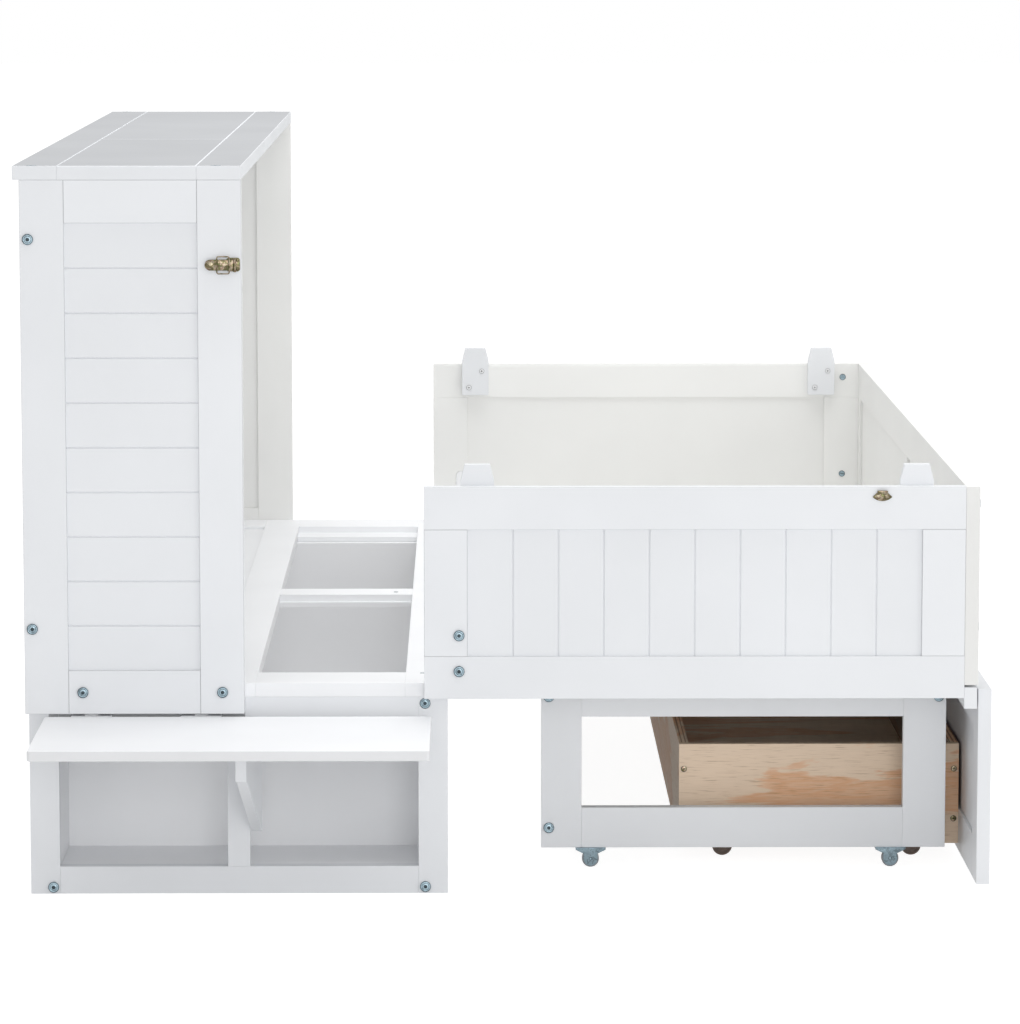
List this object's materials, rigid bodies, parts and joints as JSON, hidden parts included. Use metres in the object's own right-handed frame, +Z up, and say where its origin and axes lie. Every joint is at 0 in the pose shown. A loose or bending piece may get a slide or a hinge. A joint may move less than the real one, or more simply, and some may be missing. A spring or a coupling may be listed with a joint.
{
  "type": "wall bed",
  "caption": "Horizontal wall bed opened from a low chest: shallow cabinet and base, hinged tray, rolling support frame, drawer, end shelves with flaps and swing brackets.",
  "frame": {"origin": "middle of the footprint's bounding box, on the floor, with the bed open", "axes": "+X from the cabinet's back towards the drawer front, +Y along the chest from the near end to the far end, +Z up"},
  "size_m": [1.44, 2.557, 1.0825],
  "materials": {
    "white_painted_wood": "satin white paint over pine boards",
    "pine_ply": "bare pine plywood, lightly sealed",
    "zinc_steel": "bright blue zinc plate",
    "yellow_zinc": "yellow zinc plate",
    "wheel_plastic": "dark moulded plastic"
  },
  "bodies": {
    "root": {"base_end_frame_near": "white_painted_wood", "base_end_frame_far": "white_painted_wood", "shelf_boxes": "white_painted_wood", "base_back_rail": "white_painted_wood", "platform_frame": "white_painted_wood", "platform_panel": "white_painted_wood", "cabinet_side_frame_near": "white_painted_wood", "cabinet_side_frame_far": "white_painted_wood", "cabinet_side_planks": "white_painted_wood", "cabinet_back": "white_painted_wood", "cabinet_top_stiles": "white_painted_wood", "cabinet_top_panels": "white_painted_wood", "tray_hinge_lugs": "zinc_steel", "end_hinge_leaves": "zinc_steel", "latch_plates": "yellow_zinc", "root_bolts": "zinc_steel"},
    "tray": {"tray_side_frame_near": "white_painted_wood", "tray_side_frame_far": "white_painted_wood", "tray_side_planks": "white_painted_wood", "tray_floor_frame": "white_painted_wood", "footboard_frame": "white_painted_wood", "tray_panels": "white_painted_wood", "pull_rail": "white_painted_wood", "alignment_tabs": "white_painted_wood", "tab_screws": "zinc_steel", "tray_hinge_straps": "zinc_steel", "latch_catches": "yellow_zinc", "tray_connectors": "zinc_steel"},
    "support_frame": {"support_side_near": "white_painted_wood", "support_side_far": "white_painted_wood", "support_cross_rails": "white_painted_wood", "support_bolts": "zinc_steel", "caster_brackets": "zinc_steel"},
    "drawer": {"drawer_sides": "pine_ply", "drawer_ends": "pine_ply", "drawer_bottom": "pine_ply", "drawer_front_frame": "white_painted_wood", "drawer_front_panels": "white_painted_wood", "drawer_screws": "yellow_zinc", "drawer_wheel_brackets": "zinc_steel"},
    "caster_wheel_1_near": {"caster_wheel_1_near": "zinc_steel"},
    "caster_wheel_1_far": {"caster_wheel_1_far": "zinc_steel"},
    "caster_wheel_2_near": {"caster_wheel_2_near": "zinc_steel"},
    "caster_wheel_2_far": {"caster_wheel_2_far": "zinc_steel"},
    "drawer_wheel_1_near": {"drawer_wheel_1_near": "wheel_plastic"},
    "drawer_wheel_1_far": {"drawer_wheel_1_far": "wheel_plastic"},
    "drawer_wheel_2_near": {"drawer_wheel_2_near": "wheel_plastic"},
    "drawer_wheel_2_far": {"drawer_wheel_2_far": "wheel_plastic"},
    "flap_near": {"flap_near": "white_painted_wood", "flap_leaves_near": "zinc_steel"},
    "flap_far": {"flap_far": "white_painted_wood", "flap_leaves_far": "zinc_steel"},
    "bracket_near": {"bracket_near": "white_painted_wood", "bracket_leaves_near": "zinc_steel"},
    "bracket_far": {"bracket_far": "white_painted_wood", "bracket_leaves_far": "zinc_steel"},
    "latch_lever_near": {"latch_lever_near": "yellow_zinc"},
    "latch_lever_far": {"latch_lever_far": "yellow_zinc"},
    "latch_bail_near": {"latch_bail_near": "yellow_zinc"},
    "latch_bail_far": {"latch_bail_far": "yellow_zinc"}
  },
  "joints": [
    {"name": "tray_fold", "type": "hinge", "parent": "root", "child": "tray", "pos_m": [-0.07883, 0, 0.30625], "axis": [0, -1, 0], "range_deg": [0, 90]},
    {"name": "support_roll", "type": "slide", "parent": "root", "child": "support_frame", "axis": [1, 0, 0], "range_m": [-0.75975, 0]},
    {"name": "drawer_pull", "type": "slide", "parent": "root", "child": "drawer", "axis": [1, 0, 0], "range_m": [0, 0.35]},
    {"name": "flap_fold_near", "type": "hinge", "parent": "root", "child": "flap_near", "pos_m": [-0.68183, -0.9865, 0.2724], "axis": [-1, 0, 0], "range_deg": [0, 90]},
    {"name": "bracket_swing_near", "type": "hinge", "parent": "root", "child": "bracket_near", "pos_m": [-0.37922, -0.9635, 0.0946], "axis": [0, 0, 1], "range_deg": [0, 94]},
    {"name": "latch_lever_swing_near", "type": "hinge", "parent": "root", "child": "latch_lever_near", "pos_m": [-0.39632, -0.9869, 0.938], "axis": [0, 0, 1], "range_deg": [0, 90]},
    {"name": "latch_bail_swing_near", "type": "hinge", "parent": "latch_lever_near", "child": "latch_bail_near", "pos_m": [-0.40432, -0.9895, 0.938], "axis": [0, 0, 1], "range_deg": [0, 90]},
    {"name": "caster_roll_1_near", "type": "hinge", "parent": "support_frame", "child": "caster_wheel_1_near", "pos_m": [0.13043, -0.7635, 0.013], "axis": [0, 1, 0], "continuous": true},
    {"name": "caster_roll_2_near", "type": "hinge", "parent": "support_frame", "child": "caster_wheel_2_near", "pos_m": [0.58893, -0.7635, 0.013], "axis": [0, 1, 0], "continuous": true},
    {"name": "drawer_roll_1_near", "type": "hinge", "parent": "drawer", "child": "drawer_wheel_1_near", "pos_m": [0.33653, -0.6825, 0.0155], "axis": [0, 1, 0], "continuous": true},
    {"name": "drawer_roll_2_near", "type": "hinge", "parent": "drawer", "child": "drawer_wheel_2_near", "pos_m": [0.62902, -0.6825, 0.0155], "axis": [0, 1, 0], "continuous": true},
    {"name": "flap_fold_far", "type": "hinge", "parent": "root", "child": "flap_far", "pos_m": [-0.68183, 0.9865, 0.2724], "axis": [1, 0, 0], "range_deg": [0, 90]},
    {"name": "bracket_swing_far", "type": "hinge", "parent": "root", "child": "bracket_far", "pos_m": [-0.37922, 0.9635, 0.0946], "axis": [0, 0, -1], "range_deg": [0, 94]},
    {"name": "latch_lever_swing_far", "type": "hinge", "parent": "root", "child": "latch_lever_far", "pos_m": [-0.39632, 0.9869, 0.938], "axis": [0, 0, -1], "range_deg": [0, 90]},
    {"name": "latch_bail_swing_far", "type": "hinge", "parent": "latch_lever_far", "child": "latch_bail_far", "pos_m": [-0.40432, 0.9895, 0.938], "axis": [0, 0, -1], "range_deg": [0, 90]},
    {"name": "caster_roll_1_far", "type": "hinge", "parent": "support_frame", "child": "caster_wheel_1_far", "pos_m": [0.13043, 0.7635, 0.013], "axis": [0, 1, 0], "continuous": true},
    {"name": "caster_roll_2_far", "type": "hinge", "parent": "support_frame", "child": "caster_wheel_2_far", "pos_m": [0.58893, 0.7635, 0.013], "axis": [0, 1, 0], "continuous": true},
    {"name": "drawer_roll_1_far", "type": "hinge", "parent": "drawer", "child": "drawer_wheel_1_far", "pos_m": [0.33653, 0.6825, 0.0155], "axis": [0, 1, 0], "continuous": true},
    {"name": "drawer_roll_2_far", "type": "hinge", "parent": "drawer", "child": "drawer_wheel_2_far", "pos_m": [0.62902, 0.6825, 0.0155], "axis": [0, 1, 0], "continuous": true}
  ]
}
